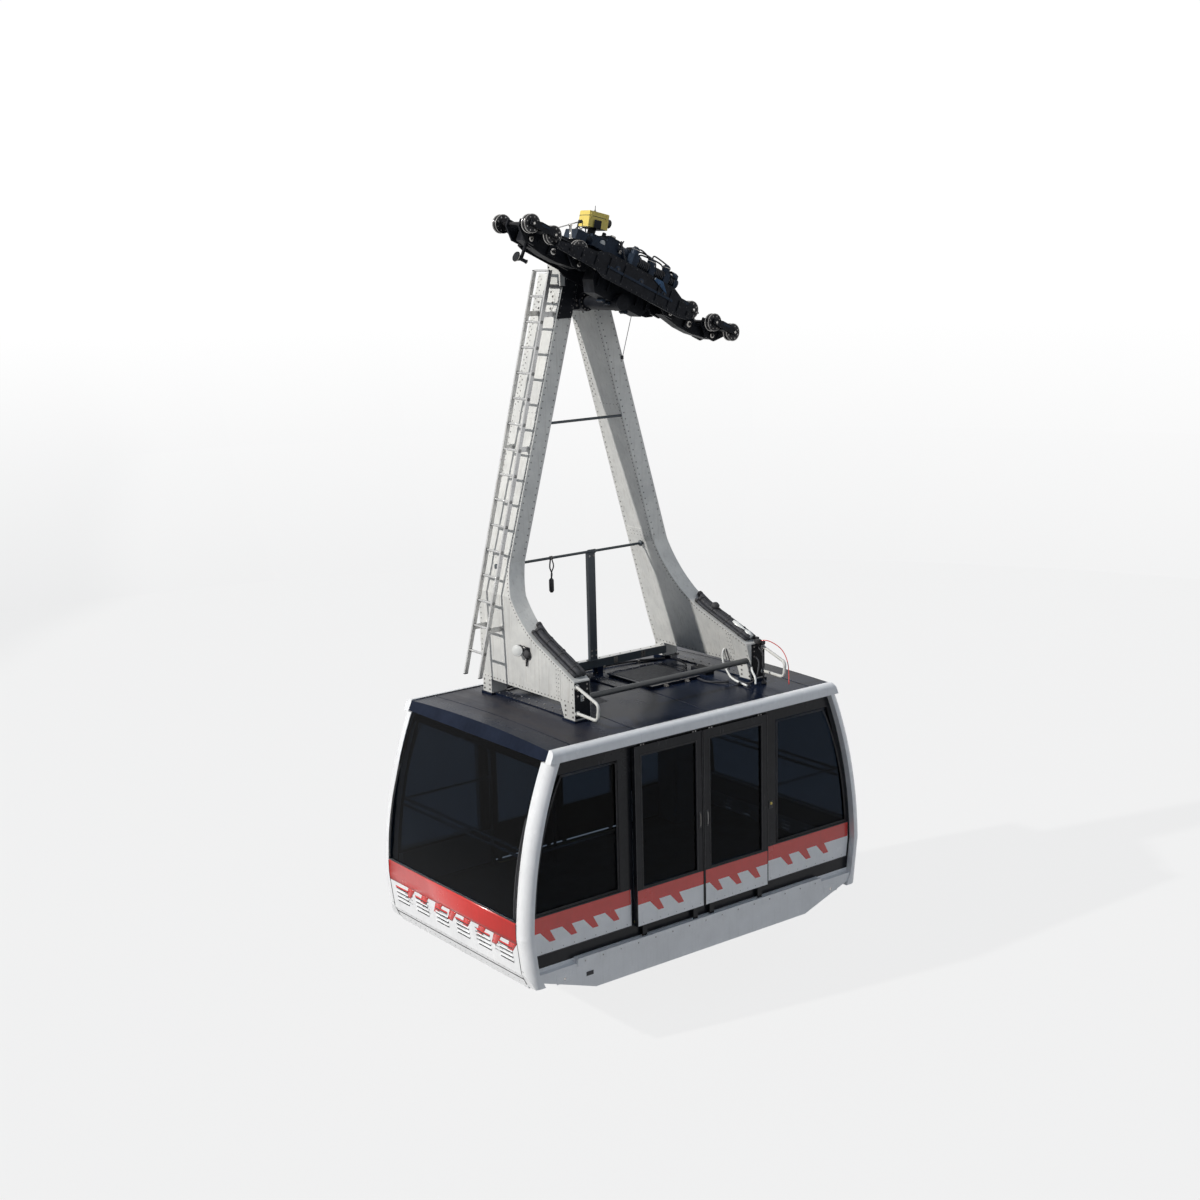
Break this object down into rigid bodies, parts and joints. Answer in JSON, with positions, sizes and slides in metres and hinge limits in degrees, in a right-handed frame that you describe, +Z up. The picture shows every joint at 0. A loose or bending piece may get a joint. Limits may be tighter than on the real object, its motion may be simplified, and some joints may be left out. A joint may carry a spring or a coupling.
{
  "type": "cable car cabin with hanger and carriage",
  "caption": "Large aerial tramway cabin with bulging ends and outside sliding doors, hung from a rope carriage by a riveted side hanger.",
  "frame": {"origin": "midway between the two track ropes, at the height of the ropes' centres, in the middle of the carriage", "axes": "+Z up, +X along the ropes towards the downhill end, +Y across the cabin towards the side that the hanger stands on"},
  "size_m": [4.65, 2.7, 7.6811],
  "materials": {
    "white_paint": "satin",
    "red_paint": "gloss",
    "black_paint": "gloss",
    "roof_skin": "gloss",
    "tinted_glass": "gloss",
    "hanger_alloy": "satin",
    "carriage_steel": "satin",
    "wheel_steel": "satin",
    "bare_steel": "satin",
    "lamp_housing": "satin",
    "lens": "gloss",
    "floor_cover": "matte",
    "lamp_diffuser": "matte",
    "grab_steel": "satin"
  },
  "bodies": {
    "carriage": {"main_girder": "carriage_steel", "rocker_beams": "carriage_steel", "bogie_frames": "carriage_steel", "rope_brakes": "wheel_steel", "power_pack": "carriage_steel", "floodlight_stand": "carriage_steel", "floodlight_housing": "lamp_housing", "floodlight_lens": "lens", "haul_rope_guide": "carriage_steel"},
    "axle_1": {"rope_wheels_1": "wheel_steel"},
    "axle_2": {"rope_wheels_2": "wheel_steel"},
    "axle_3": {"rope_wheels_3": "wheel_steel"},
    "axle_4": {"rope_wheels_4": "wheel_steel"},
    "axle_5": {"rope_wheels_5": "wheel_steel"},
    "axle_6": {"rope_wheels_6": "wheel_steel"},
    "axle_7": {"rope_wheels_7": "wheel_steel"},
    "axle_8": {"rope_wheels_8": "wheel_steel"},
    "cabin": {"hanger_pin": "bare_steel", "hanger_head": "hanger_alloy", "leg_uphill_web": "hanger_alloy", "leg_uphill_flanges": "hanger_alloy", "leg_downhill_web": "hanger_alloy", "leg_downhill_flanges": "hanger_alloy", "leg_feet": "hanger_alloy", "ladder_stiles": "hanger_alloy", "ladder_rungs": "hanger_alloy", "cross_rod": "bare_steel", "guard_rail": "hanger_alloy", "roof_tube": "hanger_alloy", "step_loops": "bare_steel", "leg_lamp": "bare_steel", "corner_posts_uphill": "white_paint", "corner_posts_downhill": "white_paint", "end_panel_uphill": "red_paint", "end_panel_downhill": "red_paint", "end_window_uphill": "tinted_glass", "end_window_downhill": "tinted_glass", "roof": "roof_skin", "hatch_hinges": "roof_skin", "roof_edge_trims": "white_paint", "side_wall_near": "black_paint", "side_wall_far": "black_paint", "side_windows": "tinted_glass", "side_panels": "white_paint", "door_ledges": "white_paint", "floor": "floor_cover", "underbody": "white_paint", "grab_rails": "grab_steel", "ceiling_lamps": "lamp_diffuser"},
    "door_near_downhill": {"door_near_downhill": "black_paint", "door_glass_near_downhill": "tinted_glass"},
    "door_near_uphill": {"door_near_uphill": "black_paint", "door_glass_near_uphill": "tinted_glass"},
    "door_far_downhill": {"door_far_downhill": "black_paint", "door_glass_far_downhill": "tinted_glass"},
    "door_far_uphill": {"door_far_uphill": "black_paint", "door_glass_far_uphill": "tinted_glass"},
    "roof_hatch": {"roof_hatch": "roof_skin"}
  },
  "joints": [
    {"name": "axle_1_turn", "type": "hinge", "parent": "carriage", "child": "axle_1", "pos_m": [-1.26216, 0, 0.69392], "axis": [0, 1, 0], "continuous": true},
    {"name": "axle_2_turn", "type": "hinge", "parent": "carriage", "child": "axle_2", "pos_m": [-1.00456, 0, 0.57434], "axis": [0, 1, 0], "continuous": true},
    {"name": "axle_3_turn", "type": "hinge", "parent": "carriage", "child": "axle_3", "pos_m": [-0.68165, 0, 0.42446], "axis": [0, 1, 0], "continuous": true},
    {"name": "axle_4_turn", "type": "hinge", "parent": "carriage", "child": "axle_4", "pos_m": [-0.42405, 0, 0.30488], "axis": [0, 1, 0], "continuous": true},
    {"name": "axle_5_turn", "type": "hinge", "parent": "carriage", "child": "axle_5", "pos_m": [1.34468, 0, -0.51614], "axis": [0, 1, 0], "continuous": true},
    {"name": "axle_6_turn", "type": "hinge", "parent": "carriage", "child": "axle_6", "pos_m": [1.08708, 0, -0.39656], "axis": [0, 1, 0], "continuous": true},
    {"name": "axle_7_turn", "type": "hinge", "parent": "carriage", "child": "axle_7", "pos_m": [0.76418, 0, -0.24668], "axis": [0, 1, 0], "continuous": true},
    {"name": "axle_8_turn", "type": "hinge", "parent": "carriage", "child": "axle_8", "pos_m": [0.50657, 0, -0.1271], "axis": [0, 1, 0], "continuous": true},
    {"name": "hanger_swing", "type": "hinge", "parent": "carriage", "child": "cabin", "pos_m": [-0.06316, 0, -0.13606], "axis": [0, 1, 0], "range_deg": [-35, 40]},
    {"name": "door_near_downhill_slide", "type": "slide", "parent": "cabin", "child": "door_near_downhill", "axis": [1, 0, 0], "range_m": [0, 0.77]},
    {"name": "door_near_uphill_slide", "type": "slide", "parent": "cabin", "child": "door_near_uphill", "axis": [-1, 0, 0], "range_m": [0, 0.77]},
    {"name": "door_far_downhill_slide", "type": "slide", "parent": "cabin", "child": "door_far_downhill", "axis": [1, 0, 0], "range_m": [0, 0.77]},
    {"name": "door_far_uphill_slide", "type": "slide", "parent": "cabin", "child": "door_far_uphill", "axis": [-1, 0, 0], "range_m": [0, 0.77]},
    {"name": "roof_hatch_swing", "type": "hinge", "parent": "cabin", "child": "roof_hatch", "pos_m": [0.49684, 0.559, -4.265], "axis": [-1, 0, 0], "range_deg": [0, 95]}
  ],
  "couplings": [
    {"joint": "door_near_uphill_slide", "follows": "door_near_downhill_slide", "ratio": 1},
    {"joint": "door_far_uphill_slide", "follows": "door_far_downhill_slide", "ratio": 1}
  ]
}
